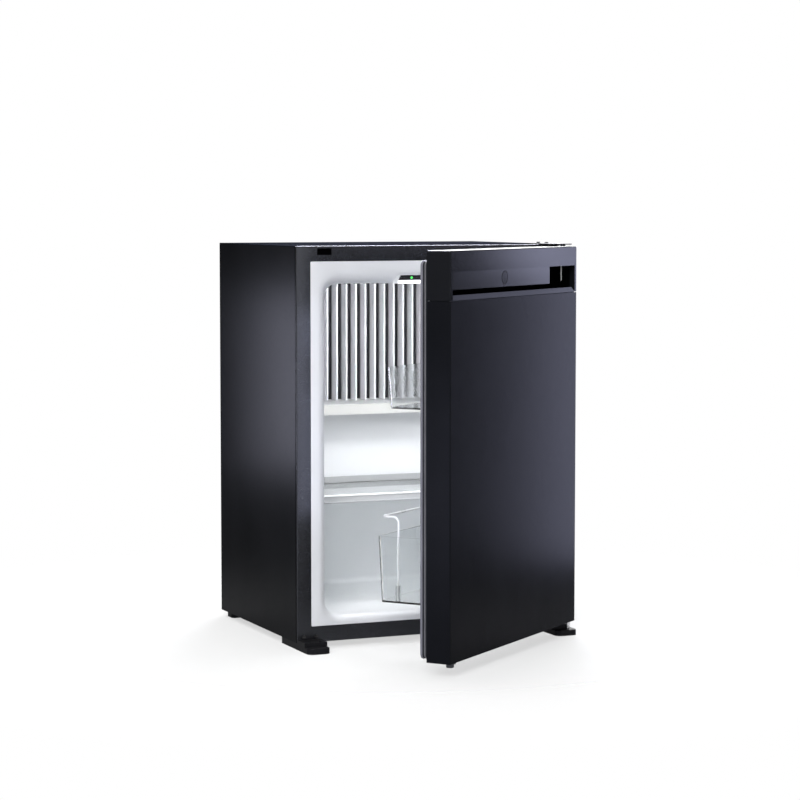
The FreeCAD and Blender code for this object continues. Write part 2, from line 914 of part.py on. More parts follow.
def handle_plate():
    y0 = door_face + plate_setback
    body = block(recess_left + fit_gap, recess_right - pocket_width, y0, y0 + plate_thickness,
                 recess_top - plate_height, recess_top - fit_gap)
    body = soften(body, plate_end_round, lambda box: at(box.XMin, recess_right - pocket_width)
                  and at(box.YMax, y0) and box.ZLength > plate_height / 2)
    return swing(body.cut(blank_body(blank_radius + blank_gap, y0 - overrun, y0 + blank_depth)))


def blank_body(radius, y0, y1):
    x = door_left + blank_from_edge
    z = door_top - blank_from_top
    return rod(radius, Vector(x, y0, z), Vector(x, y1, z))


def lock_blank():
    y0 = door_face + plate_setback
    return swing(blank_body(blank_radius, y0, y0 + blank_depth))


def spare_point(z):
    return Vector(spare_x, spare_y, z)


def bush_body(z0, z1):
    return rod(hinge_bush_radius, hinge_point(z0), hinge_point(z1))


def spare_body(z0, z1):
    return rod(spare_bush_radius, spare_point(z0), spare_point(z1))


def door_bottom_cap():
    plate = block(door_left + sheet + fit_gap, door_right - sheet - fit_gap,
                  door_face + sheet + fit_gap, door_back - lining - fit_gap,
                  door_bottom, door_bottom + bottom_cap_plate)
    boss_top = door_bottom + bottom_boss_height
    hinge_boss = rod(bottom_boss_radius, hinge_point(door_bottom), hinge_point(boss_top))
    spare_boss = rod(bottom_boss_radius, spare_point(door_bottom), spare_point(boss_top))
    bush_top = door_bottom + hinge_bush_length
    hinge_hole = bush_body(door_bottom - overrun, bush_top)
    spare_hole = spare_body(door_bottom - overrun, bush_top)
    return swing(fuse([plate, hinge_boss, spare_boss]).cut([hinge_hole, spare_hole]))


def hinge_bush(z0, z1, mouth):
    """Bush with a blind bore that opens at the height called mouth."""
    inner = z1 - hinge_pin_radius / 2 if mouth == z0 else z0 + hinge_pin_radius / 2
    bore = rod(hinge_pin_radius + running_gap, hinge_point(mouth), hinge_point(inner))
    return swing(bush_body(z0, z1).cut(bore))


def spare_bush():
    low = door_bottom - spare_bush_drop
    body = spare_body(low, door_bottom + hinge_bush_length)
    body = soften(body, spare_bush_radius / 5, in_plane_z(low))
    flange_low = door_bottom - spare_flange_height
    flange = rod(spare_flange_radius, spare_point(flange_low), spare_point(door_bottom))
    return swing(fuse([body, flange]))


def door_foam():
    body = block(door_left + cap_wall + fit_gap, door_right - cap_wall - fit_gap,
                 door_face + cap_wall + fit_gap, door_back - lining - fit_gap,
                 door_bottom + bottom_boss_height + fit_gap, door_top - cap_wall - fit_gap)
    room = cap_wall + fit_gap
    boss_foot = hinge_point(door_top - hinge_bush_length - room)
    boss = rod(hinge_bush_radius + room, boss_foot, hinge_point(door_top))
    return swing(body.cut([recess_shape(room), boss]))


def door_lining():
    """White inner face of the door with the raised rim that carries the bins."""
    side = cap_wall + fit_gap
    plate = block(door_left + side, door_right - side, door_back - lining, door_back,
                  door_bottom + lining_end_gap, door_top - lining_end_gap)
    rim = slab_y(dyke_left, dyke_right, door_back - lining / 2, dyke_back, dyke_low, dyke_high, dyke_corner)
    hollow = slab_y(dyke_left + dyke_width, dyke_right - dyke_width, door_back, dyke_back + overrun,
                    dyke_low + dyke_width, dyke_high - dyke_width, dyke_inner_corner)
    rim = soften(rim.cut(hollow), dyke_round, in_plane_y(dyke_back))
    lugs = []
    for bin_high in (tray_top, bin_top):
        shelf = bin_high - hook_drop - rest_gap
        y0 = bin_back + hook_from_back - lug_clear
        lug = block(dyke_left + dyke_width - overrun, bin_left - lug_clear, y0, y0 + hook_length,
                    shelf - lug_height, shelf)
        lugs += [lug, mirrored(lug)]
    return swing(fuse([plate, rim] + lugs))


def gasket_ring(inset, y0, y1, corner):
    low = door_bottom + gasket_bottom_gap - gasket_inset + inset
    high = door_top - gasket_top_gap + gasket_inset - inset
    return slab_y(door_left + inset, door_right - gasket_hinge_shift - inset, y0, y1, low, high, corner)


def door_gasket():
    tip = door_back + gasket_height
    outer = gasket_ring(gasket_inset, door_back, tip, gasket_corner)
    inner = gasket_ring(gasket_inset + gasket_width, door_back - overrun, tip + overrun, gasket_corner / 2)
    body = soften(outer.cut(inner), gasket_round, in_plane_y(tip))
    return swing(body.cut(magnet_bars(fit_gap)))


def magnet_bars(gap):
    """Four bars of magnet strip inside the seal, one along each side."""
    inset = gasket_inset + (gasket_width - magnet_width) / 2 - gap
    across = magnet_width + 2 * gap
    y0 = door_back + magnet_base - gap
    y1 = door_back + magnet_base + magnet_height + gap
    low = door_bottom + gasket_bottom_gap - gasket_inset
    high = door_top - gasket_top_gap + gasket_inset
    ends = magnet_end_gap + gasket_inset - gap
    right_end = door_right - gasket_hinge_shift
    free_side = block(door_left + inset, door_left + inset + across, y0, y1, low + ends, high - ends)
    hinge_side = block(right_end - inset - across, right_end - inset, y0, y1, low + ends, high - ends)
    lower = block(door_left + ends, right_end - ends, y0, y1, low + inset, low + inset + across)
    upper = block(door_left + ends, right_end - ends, y0, y1, high - inset - across, high - inset)
    return [free_side, hinge_side, lower, upper]


def gasket_magnets():
    return swing(Part.makeCompound(magnet_bars(0)))


# Door bins

def bin_body(low, high, reach_low, reach_high, back_y, margin, above, corner):
    """Solid of a bin, drawn in by margin, whose front leans out towards its top."""
    lean = (reach_high - reach_low) / (high - low)
    z0, z1 = low + margin, high + above
    y0 = back_y + margin
    y_low = door_face + reach_low - margin + lean * margin
    y_high = door_face + reach_low - margin + lean * (z1 - low)
    profile = [(y0, z0), (y_low, z0), (y_high, z1), (y0, z1)]
    solid = prism_x(profile, bin_left + margin, bin_right - margin)
    return soften(solid, corner, lambda box: box.ZLength > (high - low) / 2
                  and box.YMax > y_low - fit_gap and box.XLength < fit_gap)


def door_bin(low, high, reach_low, reach_high):
    outside = bin_body(low, high, reach_low, reach_high, bin_back, 0, 0, bin_corner)
    inside = bin_body(low, high, reach_low, reach_high, bin_back, bin_wall, overrun, bin_inner_corner)
    y0 = bin_back + hook_from_back
    hook = block(dyke_left + dyke_width + lug_clear, bin_left + bin_wall / 2, y0,
                 y0 + hook_length - 2 * lug_clear, high - hook_drop, high - hook_drop + hook_height)
    return fuse([outside.cut(inside), hook, mirrored(hook)])


def upper_tray():
    return swing(door_bin(tray_top - tray_height, tray_top, tray_reach_bottom, tray_reach_top))


def wire_base(side, z):
    x = bin_left + wire_inset if side < 0 else bin_right - wire_inset
    return Vector(x, door_face + wire_leg_reach, z)


def lower_bin():
    body = door_bin(bin_bottom, bin_top, bin_reach_bottom, bin_reach_top)
    floor = bin_bottom + bin_wall
    sockets = []
    holes = []
    for side in (-1, 1):
        end = wire_base(side, floor + socket_height)
        sockets.append(rod(socket_radius, wire_base(side, floor - bin_wall / 2), end))
        holes.append(rod(wire_radius + socket_gap, wire_base(side, floor), end + Vector(0, 0, overrun)))
    return swing(fuse([body] + sockets).cut(holes))


def bottle_retainer():
    floor = bin_bottom + bin_wall
    rail = bin_top + wire_rise
    points = [wire_base(-1, floor + fit_gap), wire_base(-1, rail)]
    for side in (-1, 1):
        corner = wire_base(side, rail)
        corner.y = door_face + wire_rail_reach
        points.append(corner)
    points += [wire_base(1, rail), wire_base(1, floor + fit_gap)]
    return swing(bent_tube(points, wire_radius, wire_bend))


# Shelf

def shelf_plate():
    half = cabinet_width / 2 - cavity_side + groove_depth - shelf_side_gap
    return block(-half, half, shelf_face + shelf_trim_lip, cavity_back - shelf_back_gap,
                 shelf_level + rest_gap, shelf_level + rest_gap + shelf_glass)


def trim_half_width():
    return cabinet_width / 2 - cavity_side - shelf_trim_side_gap


def shelf_front_trim():
    half = trim_half_width()
    high = shelf_level + rest_gap + shelf_glass + shelf_trim_cover
    low = high - shelf_trim_height
    body = block(-half, half, shelf_face, shelf_face + shelf_trim_depth, low, high)
    body = soften(body, shelf_trim_lip / 3, in_plane_y(shelf_face))
    hollow = block(-half - overrun, half + overrun, shelf_face - overrun, shelf_face + shelf_bead_depth,
                   low + shelf_bead, high - shelf_bead)
    y0, y1 = shelf_face + shelf_trim_lip, shelf_face + shelf_trim_depth + overrun
    slot = block(-half - overrun, half + overrun, y0, y1,
                 shelf_level + rest_gap, shelf_level + rest_gap + shelf_glass)
    under = block(-half - overrun, half + overrun, y0, y1,
                  low - overrun, shelf_level + rest_gap - shelf_trim_lip)
    return body.cut([hollow, slot, under])


def shelf_rear_trim():
    half = trim_half_width()
    low = shelf_level + rest_gap - shelf_trim_lip
    end = cavity_back - shelf_back_gap + shelf_trim_lip
    body = block(-half, half, end - shelf_trim_depth, end, low, low + shelf_rear_rise)
    step = block(-half - overrun, half + overrun, end - shelf_trim_depth - overrun, end - shelf_trim_lip,
                 shelf_level + rest_gap, low + shelf_rear_rise + overrun)
    return body.cut(step)


# Cooling unit

def unit_point(x, z):
    return Vector(x, unit_y, z)


def absorber_coil():
    """Serpentine tube whose lower end enters the vessel and whose upper end meets the return tube."""
    points = [unit_point(coil_left, vessel_level)]
    for number, level in enumerate(coil_levels):
        ends = (coil_left, coil_right) if number % 2 == 0 else (coil_right, coil_left)
        points += [unit_point(ends[0], level), unit_point(ends[1], level)]
    return bent_tube(points, tube_radius, coil_pitch / 2 - fit_gap).cut(absorber_vessel())


def absorber_vessel():
    body = rod(vessel_radius, unit_point(vessel_left, vessel_level), unit_point(vessel_right, vessel_level))
    return soften(body, vessel_round, lambda box: box.XLength < fit_gap)


def boiler_casing():
    body = rod(boiler_radius, unit_point(boiler_x, boiler_foot), unit_point(boiler_x, boiler_top))
    return soften(body, boiler_round, lambda box: box.ZLength < fit_gap)


def riser_tube():
    points = [unit_point(boiler_x, boiler_top), unit_point(boiler_x, condenser_level),
              unit_point(condenser_right, condenser_level)]
    return bent_tube(points, tube_radius, tube_bend)


def condenser():
    """Finned tube that sheds heat at the top of the unit."""
    half = condenser_fin_size / 2
    tube = rod(tube_radius, unit_point(condenser_left, condenser_level),
               unit_point(condenser_right, condenser_level))
    fins = []
    for number in range(condenser_fin_count):
        x = condenser_left + condenser_fin_pitch * (number + 1)
        fins.append(block(x, x + condenser_fin_thickness, unit_y - half, unit_y + half,
                          condenser_level - half, condenser_level + half))
    return fuse([tube] + fins)


def feed_tube():
    """Tube from the condenser's far end into the cold plate."""
    outer = condenser_left - feed_bend * 2
    points = [unit_point(condenser_left, condenser_level), unit_point(outer, condenser_level),
              unit_point(outer, evaporator_level), unit_point(feed_x, evaporator_level),
              Vector(feed_x, tube_entry, evaporator_level)]
    return bent_tube(points, feed_radius, feed_bend)


def return_tube():
    """Tube from the cold plate down to the absorber."""
    points = [Vector(return_x, tube_entry, evaporator_level), unit_point(return_x, evaporator_level),
              unit_point(return_x, coil_levels[-1]), unit_point(coil_right, coil_levels[-1])]
    return bent_tube(points, tube_radius, tube_bend)


def condensate_dish():
    x0, x1 = dish_right - dish_width, dish_right
    y0, y1 = unit_y - dish_depth / 2, unit_y + dish_depth / 2
    z0, z1 = dish_floor, dish_floor + dish_height
    body = slab_z(x0, x1, y0, y1, z0, z1, dish_wall * 3)
    inside = slab_z(x0 + dish_wall, x1 - dish_wall, y0 + dish_wall, y1 - dish_wall,
                    z0 + dish_wall, z1 + overrun, dish_wall * 2)
    return body.cut(inside)


def unit_strap(level, reach, posts):
    """Hat-shaped strap on the rear panel that bears against the unit; its posts reach the coil."""
    half = right - strap_side_gap
    low, high = level - strap_height / 2, level + strap_height / 2
    face = back + reach
    foot = block(-half - strap_foot, -half, back, back + strap_thickness, low, high)
    arm = block(-half, -half + strap_thickness, back, face, low, high)
    bar = block(-half, half, face - strap_thickness, face, low, high)
    made = [block(x, x + strap_post, face - strap_thickness, unit_y - tube_radius, low, high) for x in posts]
    return fuse([bar, foot, arm, mirrored(foot), mirrored(arm)] + made)


def unit_strap_upper():
    return unit_strap(condenser_level, coil_axis - condenser_fin_size / 2, ())


def unit_strap_lower():
    posts = (coil_left + strap_post_inset, coil_right - strap_post_inset - strap_post)
    return unit_strap(coil_levels[1], coil_axis - boiler_radius, posts)


def electronics_box():
    body = block(box_left, box_right, back, box_face, box_bottom, box_top)
    body = soften(body, box_round, in_plane_y(box_face))
    hollow = block(box_left + box_wall, box_right - box_wall, back + box_wall, box_face - box_wall,
                   box_bottom + box_wall, box_top - box_wall)
    return body.cut([hollow, inlet_shape(fit_gap, box_face - box_wall - overrun, box_face + overrun)])


def inlet_shape(gap, y0, y1):
    x = (box_left + box_right) / 2
    z = (box_bottom + box_top) / 2
    return slab_y(x - inlet_width / 2 - gap, x + inlet_width / 2 + gap, y0, y1,
                  z - inlet_height / 2 - gap, z + inlet_height / 2 + gap, inlet_corner)


def mains_inlet():
    body = inlet_shape(0, box_face - inlet_depth - inlet_flange_thickness, box_face)
    flange = inlet_shape(inlet_flange, box_face, box_face + inlet_flange_thickness)
    mouth = inlet_shape(-inlet_flange, box_face - inlet_depth, box_face + overrun * 2)
    x = (box_left + box_right) / 2
    z = (box_bottom + box_top) / 2
    y0 = box_face - inlet_depth - inlet_flange_thickness / 2
    blades = []
    for number in (-1, 0, 1):
        middle = x + inlet_blade_pitch * number
        blades.append(block(middle - inlet_blade_thickness / 2, middle + inlet_blade_thickness / 2,
                            y0, y0 + inlet_blade_length,
                            z - inlet_blade_width / 2, z + inlet_blade_width / 2))
    return fuse([fuse([body, flange]).cut(mouth)] + blades)


# Export

pieces = {
    "side_panel_left": side_panel(left),
    "side_panel_right": side_panel(right - sheet),
    "top_panel": top_panel(),
    "base_panel": base_panel(),
    "rear_panel": rear_panel(),
    "front_frame": front_frame(),
    "frame_screws": frame_screws(),
    "inner_liner": inner_liner(),
    "cabinet_foam": cabinet_foam(),
    "evaporator_fins": evaporator_fins(),
    "evaporator_plug": evaporator_plug(),
    "temperature_sensor": temperature_sensor(),
    "drip_channel": drip_channel(),
    "drain_tube": drain_tube(),
    "light_housing": light_housing(),
    "control_strip": control_strip(),
    "status_light": status_light(),
    "light_diffuser": light_diffuser(),
    "front_foot_left": front_foot(-1),
    "front_foot_right": front_foot(1),
    "rear_foot_left": rear_foot(-1),
    "rear_foot_right": rear_foot(1),
    "foot_screws": foot_screws(),
    "lower_hinge_pin": lower_hinge_pin(),
    "upper_hinge_plate": upper_hinge_plate(),
    "upper_hinge_pin": upper_hinge_pin(),
    "hinge_screws": hinge_screws(),
    "door_skin": door_skin(),
    "handle_cap": handle_cap(),
    "handle_plate": handle_plate(),
    "lock_blank": lock_blank(),
    "door_bottom_cap": door_bottom_cap(),
    "lower_hinge_bush": hinge_bush(door_bottom, door_bottom + hinge_bush_length, door_bottom),
    "upper_hinge_bush": hinge_bush(door_top - hinge_bush_length, door_top, door_top),
    "spare_bush": spare_bush(),
    "door_foam": door_foam(),
    "door_lining": door_lining(),
    "door_gasket": door_gasket(),
    "gasket_magnets": gasket_magnets(),
    "upper_tray": upper_tray(),
    "lower_bin": lower_bin(),
    "bottle_retainer": bottle_retainer(),
    "shelf_plate": shelf_plate(),
    "shelf_front_trim": shelf_front_trim(),
    "shelf_rear_trim": shelf_rear_trim(),
    "absorber_coil": absorber_coil(),
    "absorber_vessel": absorber_vessel(),
    "boiler_casing": boiler_casing(),
    "riser_tube": riser_tube(),
    "condenser": condenser(),
    "feed_tube": feed_tube(),
    "return_tube": return_tube(),
    "condensate_dish": condensate_dish(),
    "unit_strap_upper": unit_strap_upper(),
    "unit_strap_lower": unit_strap_lower(),
    "electronics_box": electronics_box(),
    "mains_inlet": mains_inlet(),
}
for node, shape in pieces.items():
    save(node, shape)
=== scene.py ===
import json
import math

import bpy
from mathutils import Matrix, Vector


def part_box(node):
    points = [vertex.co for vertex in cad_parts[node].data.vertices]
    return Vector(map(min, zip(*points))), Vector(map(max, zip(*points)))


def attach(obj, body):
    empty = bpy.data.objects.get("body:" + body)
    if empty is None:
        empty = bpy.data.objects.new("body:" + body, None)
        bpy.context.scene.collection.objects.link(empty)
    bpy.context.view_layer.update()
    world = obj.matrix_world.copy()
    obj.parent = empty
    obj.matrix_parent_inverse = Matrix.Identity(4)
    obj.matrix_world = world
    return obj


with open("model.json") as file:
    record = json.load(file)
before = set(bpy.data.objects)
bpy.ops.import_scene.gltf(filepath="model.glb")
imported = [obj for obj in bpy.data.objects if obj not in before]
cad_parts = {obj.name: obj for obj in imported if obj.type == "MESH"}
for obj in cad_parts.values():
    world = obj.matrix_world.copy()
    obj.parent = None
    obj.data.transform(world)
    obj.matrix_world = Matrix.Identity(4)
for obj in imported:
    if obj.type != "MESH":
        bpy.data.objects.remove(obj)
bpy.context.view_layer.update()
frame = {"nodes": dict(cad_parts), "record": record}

# Camera
CAMERA_PLACE = Vector((-1.4129, -3.3335, 0.6127))
CAMERA_YAW = math.radians(23.209)
CAMERA_TILT = math.radians(4.515)
CAMERA_AHEAD = (math.sin(CAMERA_YAW) * math.cos(CAMERA_TILT),
                math.cos(CAMERA_YAW) * math.cos(CAMERA_TILT),
                -math.sin(CAMERA_TILT))
CAMERA_LENS = 112.39
CAMERA_SENSOR = 36.0

# Ways into the cabinet, down, and into and across the door as it stands at rest
DOOR_ANGLE = math.radians(38.7)
BACK = Vector((0.0, 1.0, 0.0))
DOWN = Vector((0.0, 0.0, -1.0))
DOOR_INWARD = Vector((-math.sin(DOOR_ANGLE), math.cos(DOOR_ANGLE), 0.0))
DOOR_ACROSS = Vector((math.cos(DOOR_ANGLE), math.sin(DOOR_ANGLE), 0.0))

# Painted shade in recesses: how far in from a face or an edge it starts, how fast it darkens, and how dark it is
CAP_RECESS_DEPTH = 0.0075
CAP_RECESS_SIDE = 0.0055
PLATE_RECESS_DEPTH = 0.0006
FRAME_RECESS_DEPTH = 0.001
RECESS_SHADE_FADE = 0.001
RECESS_PAINTED_SHADE = (0.0012, 0.0012, 0.0014)

# Sides of every round bead
TUBE_SIDES = 10

# Dark ring of painted shade in the groove round the lock blank
RING_RADIUS = 0.008625
RING_BEAD = 0.00065
RING_INSET = 0.0003
RING_STEPS = 48

# Pale bead in the handle pocket, a painted highlight on its back corner, and its shape as shares of its length
# and of its radius there
BEAD_RADIUS = 0.0011
BEAD_LENGTH = 0.022
BEAD_DEPTH = 0.0208
BEAD_FROM_EDGE = 0.0076
BEAD_SHAPE_SHARES = ((0.0, 0.35), (0.02, 0.75), (0.06, 1.0), (0.5, 1.0),
                     (0.94, 1.0), (0.98, 0.75), (1.0, 0.35))

# Ribs round the outer side of the door's gasket, real in shape, coloured paler than the gasket as painted
# highlights
SEAL_CORNER = 0.007
SEAL_STEPS = 6
SEAL_BULB = dict(depth=0.0022, radius=0.002, inset=0.0012)
SEAL_LIP = dict(depth=0.0074, radius=0.001, inset=0.0004)

# Floor: its side, the distances between which it thins out, its cover, tones and dullness
FLOOR_SIZE = 3.0
FLOOR_SPAN = (0.3, 0.9)
FLOOR_COVER = 0.4
FLOOR_DARK = (0.88, 0.88, 0.88)
FLOOR_LIGHT = (0.92, 0.92, 0.92)
FLOOR_ROUGHNESS = 0.9
FLOOR_SPECULAR = 0.05

# White sheet and dark flags of the studio: the flags' angles from the camera's way, foot heights, tint and level
SHEET_WHITE = (1.0, 1.0, 1.0, 1.0)
SHEET_LEVEL = 1.0
FLAG_INNER = (math.radians(14.0), math.radians(20.0))
FLAG_OUTER = (math.radians(85.0), math.radians(105.0))
FLAG_FOOT = (-0.26, -0.17)
FLAG_TINT = (0.95, 0.97, 1.0, 1.0)
FLAG_LEVEL = 0.06

# Tints of the lamps
PLAIN = (1.0, 1.0, 1.0)
COOL = (0.8, 0.81, 1.0)
COOLER = (0.71, 0.73, 1.0)

# Lamps: three soft boxes for the whole object, small ones that the dark faces mirror, and two in the cavity
LAMPS = {
    "key": dict(place=(-1.7, -2.3, 2.0), target=(0.0, 0.0, 0.3), size=(1.6, 1.2), power=77.0),
    "overhead": dict(place=(0.1, 0.7, 2.5), target=(0.0, -0.1, 0.0), size=(1.8, 1.8), power=56.0),
    "rear_fill": dict(place=(1.6, 2.4, 1.6), target=(0.0, 0.1, 0.3), size=(1.6, 1.2), power=75.0),
    "side_sheen": dict(place=(-0.55, 0.6, 0.315), target=(-0.205, -0.14, 0.36), size=(0.14, 0.3), power=0.135,
                       tint=COOL, spread=50.0),
    "door_sheen": dict(place=(1.15, 0.12, 0.36), target=(0.05, -0.3, 0.42), size=(0.26, 0.8), power=0.48,
                       tint=COOLER, spread=60.0),
    "band_sheen": dict(place=(1.15, -0.04, 0.55), target=(0.05, -0.3, 0.53), size=(0.1, 0.12), power=0.026,
                       tint=COOLER, spread=60.0),
    "ledge_sheen": dict(place=(1.15, 0.08, 0.82), target=(0.05, -0.3, 0.49), size=(0.4, 0.16), power=0.06,
                        tint=COOLER, spread=60.0),
    "edge_strip": dict(place=(0.35, -2.6, 0.5), target=(-0.1, -0.43, 0.42), size=(0.3, 1.0), power=14.0),
    "free_side_sheen": dict(place=(-1.1, -0.8, 0.15), target=(-0.12, -0.42, 0.2), size=(0.34, 0.3), power=0.45,
                            tint=COOL, spread=60.0),
    "stile_sheen": dict(place=(-0.116, -0.342, 0.31), target=(-0.195, -0.158, 0.33), size=(0.04, 0.3),
                        power=0.018, tint=COOL, spread=60.0),
    "lip": dict(place=(0.42, 0.74, 1.3), target=(0.0, -0.35, 0.55), size=(0.6, 0.25), power=4.0,
                tint=COOL, spread=60.0),
    "cavity": dict(place=(-0.02, -0.04, 0.5), target=(-0.02, 0.08, 0.22), size=(0.2, 0.08), power=1.1),
    "lower_cavity": dict(place=(-0.02, -0.07, 0.235), target=(-0.02, 0.05, 0.06), size=(0.22, 0.05),
                         power=0.16),
}

# Range that holds nearly all values of a noise, and the full range of a share
NOISE_SPAN = (0.3, 0.7)
FULL_SPAN = (0.0, 1.0)

# Colour sockets of a mix node
MIX_COLOURS = (6, 7)
MIX_RESULT = 2

# Tint of the sheen on dark paint, and shares of the fins' depth between which painted shade darkens them
SHEEN_TINT = (0.84, 0.88, 1.0, 1.0)
FIN_SHADE_SHARES = (0.66, 0.84)


# Node helpers

def joined(tree, operation, first, second):
    """Result of an operation on two sockets of a tree."""
    made = tree.nodes.new("ShaderNodeMath")
    made.operation = operation
    tree.links.new(first, made.inputs[0])
    tree.links.new(second, made.inputs[1])
    return made.outputs["Value"]


class Shader:
    """A material with short calls for the nodes that the finishes share."""

    def __init__(self, name):
        self.material = bpy.data.materials.new(name)
        self.material.use_nodes = True
        self.tree = self.material.node_tree
        self.principled = self.tree.nodes["Principled BSDF"]
        self.place = self.node("ShaderNodeTexCoord").outputs["Object"]

    def node(self, kind, **settings):
        made = self.tree.nodes.new(kind)
        for key, value in settings.items():
            setattr(made, key, value)
        return made

    def link(self, source, target):
        self.tree.links.new(source, target)

    def set(self, **values):
        for key, value in values.items():
            self.principled.inputs[key.replace("_", " ")].default_value = value

    def stretched(self, scale):
        """Object coordinates, scaled differently along each axis."""
        mapping = self.node("ShaderNodeMapping")
        mapping.inputs["Scale"].default_value = scale
        self.link(self.place, mapping.inputs["Vector"])
        return mapping.outputs["Vector"]

    def along(self, direction):
        """How far a point lies along a direction."""
        made = self.node("ShaderNodeVectorMath", operation="DOT_PRODUCT")
        made.inputs[1].default_value = direction
        self.link(self.place, made.inputs[0])
        return made.outputs["Value"]

    def noise(self, scale=1.0, detail=3.0, rough=0.5, place=None):
        made = self.node("ShaderNodeTexNoise")
        made.inputs["Scale"].default_value = scale
        made.inputs["Detail"].default_value = detail
        made.inputs["Roughness"].default_value = rough
        self.link(place or self.place, made.inputs["Vector"])
        return made.outputs["Fac"]

    def ramp(self, value, span=NOISE_SPAN, out=FULL_SPAN):
        """Values over a span, spread over another."""
        made = self.node("ShaderNodeMapRange")
        made.inputs["From Min"].default_value, made.inputs["From Max"].default_value = span
        made.inputs["To Min"].default_value, made.inputs["To Max"].default_value = out
        self.link(value, made.inputs["Value"])
        return made.outputs["Result"]

    def mix(self, factor, *colours):
        """Two colours or sockets, mixed by a factor."""
        made = self.node("ShaderNodeMix", data_type="RGBA")
        for index, value in zip(MIX_COLOURS, colours):
            if isinstance(value, tuple):
                made.inputs[index].default_value = (*value, 1.0)
            else:
                self.link(value, made.inputs[index])
        self.link(factor, made.inputs["Factor"])
        return made.outputs[MIX_RESULT]

    def combine(self, operation, first, second):
        return joined(self.tree, operation, first, second)

    def bump(self, height, distance):
        made = self.node("ShaderNodeBump")
        made.inputs["Distance"].default_value = distance
        self.link(height, made.inputs["Height"])
        self.link(made.outputs["Normal"], self.principled.inputs["Normal"])

    def colour(self, socket):
        self.link(socket, self.principled.inputs["Base Color"])

    def roughness(self, value, rough, span=NOISE_SPAN):
        self.link(self.ramp(value, span, rough), self.principled.inputs["Roughness"])


# Finishes

def grained(name, dark, light, rough, grain, depth, specular, recess=None):
    """Paint or moulding with a fine grain and slow changes of tone, painted black and without sheen far into a
    recess as painted shade.
    """
    s = Shader(name)
    fine = s.noise(scale=grain, detail=2.0, rough=0.6)
    slow = s.noise(scale=7.0)
    paint = s.mix(s.ramp(s.combine("MULTIPLY", fine, slow), span=(0.12, 0.4)), dark, light)
    s.set(Specular_IOR_Level=specular, Specular_Tint=SHEEN_TINT)
    # Painted shade: black colour and no sheen past the given depths in a recess
    if recess:
        shade_mask = None
        for direction, start in recess:
            past = s.ramp(s.along(direction), span=(start, start + RECESS_SHADE_FADE))
            shade_mask = s.combine("MULTIPLY", shade_mask, past) if shade_mask else past
        paint = s.mix(shade_mask, paint, RECESS_PAINTED_SHADE)
        shaded_specular = s.ramp(shade_mask, span=FULL_SPAN, out=(specular, 0.0))
        s.link(shaded_specular, s.principled.inputs["Specular IOR Level"])
    s.colour(paint)
    s.roughness(s.noise(scale=160.0, detail=4.0, rough=0.6), rough)
    s.bump(fine, depth)
    return s.material


def white_sheet(name, dark, light, rough):
    """Smooth white sheet with the faint ripple of a drawn or moulded surface."""
    s = Shader(name)
    s.colour(s.mix(s.ramp(s.noise(scale=5.0, detail=2.0)), dark, light))
    s.roughness(s.noise(scale=60.0), rough)
    fine = s.noise(scale=420.0, detail=2.0)
    ripple = s.noise(scale=30.0, detail=2.0)
    s.bump(s.combine("ADD", fine, ripple), distance=0.00006)
    return s.material


def brushed(name, dark, light, rough, stretch):
    """Metal with fine lines along one direction."""
    s = Shader(name)
    lines = s.noise(rough=0.65, place=s.stretched(stretch))
    s.colour(s.mix(s.ramp(lines), dark, light))
    s.roughness(lines, rough)
    s.bump(lines, distance=0.00005)
    s.set(Metallic=1.0)
    return s.material


def finned(name, node, dark, light, deep, rough, stretch):
    """Satin aluminium with lines along the fins, with painted shade darkening the gaps between them towards
    their base.
    """
    s = Shader(name)
    near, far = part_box(node)
    lines = s.noise(rough=0.65, place=s.stretched(stretch))
    metal = s.mix(s.ramp(lines), dark, light)
    # Painted shade: darker towards the base of the gaps between fins
    span = tuple(near.y + share * (far.y - near.y) for share in FIN_SHADE_SHARES)
    s.colour(s.mix(s.ramp(s.along(BACK), span), metal, deep))
    s.roughness(lines, rough)
    s.bump(lines, distance=0.00005)
    s.set(Metallic=0.1)
    return s.material


def clear(name, tint, worn, rough, ior):
    """Clear plate or moulding with faint handling marks."""
    s = Shader(name)
    marks = s.noise(scale=26.0, detail=5.0, rough=0.7)
    s.roughness(marks, rough, span=(0.45, 0.75))
    s.colour(s.mix(s.ramp(marks), tint, worn))
    s.bump(s.noise(scale=90.0, detail=2.0), distance=0.00003)
    s.set(Transmission_Weight=1.0, IOR=ior)
    return s.material


def soft_seal(name, dark, light):
    """Soft seal with a fine grain and a little grime."""
    s = Shader(name)
    grime = s.noise(scale=18.0, detail=4.0, rough=0.65)
    s.colour(s.mix(s.ramp(grime, span=(0.35, 0.7)), dark, light))
    s.roughness(grime, rough=(0.5, 0.66))
    s.bump(s.noise(scale=650.0, detail=2.0), distance=0.00008)
    s.set(Specular_IOR_Level=0.12)
    return s.material


def foam(name, dark, light):
    """Pale foam with closed cells."""
    s = Shader(name)
    cells = s.node("ShaderNodeTexVoronoi")
    cells.inputs["Scale"].default_value = 900.0
    s.link(s.place, cells.inputs["Vector"])
    s.colour(s.mix(cells.outputs["Distance"], dark, light))
    s.roughness(s.noise(scale=40.0), rough=(0.8, 0.95))
    s.bump(cells.outputs["Distance"], distance=0.0004)
    return s.material


def gloss_strip(name, dark, light):
    """Black gloss strip with faint wiping marks."""
    s = Shader(name)
    wipes = s.noise(detail=4.0, rough=0.6, place=s.stretched((40.0, 90.0, 260.0)))
    s.colour(s.mix(wipes, dark, light))
    s.roughness(wipes, rough=(0.06, 0.16))
    s.set(Specular_IOR_Level=0.25)
    return s.material


def lamp(name, edge, middle, strength, scale):
    """Lit plastic, a little uneven."""
    s = Shader(name)
    uneven = s.noise(scale=scale, detail=2.0)
    tone = s.mix(s.ramp(uneven), edge, middle)
    s.colour(tone)
    s.link(tone, s.principled.inputs["Emission Color"])
    s.roughness(uneven, rough=(0.25, 0.4))
    s.set(Emission_Strength=strength)
    return s.material


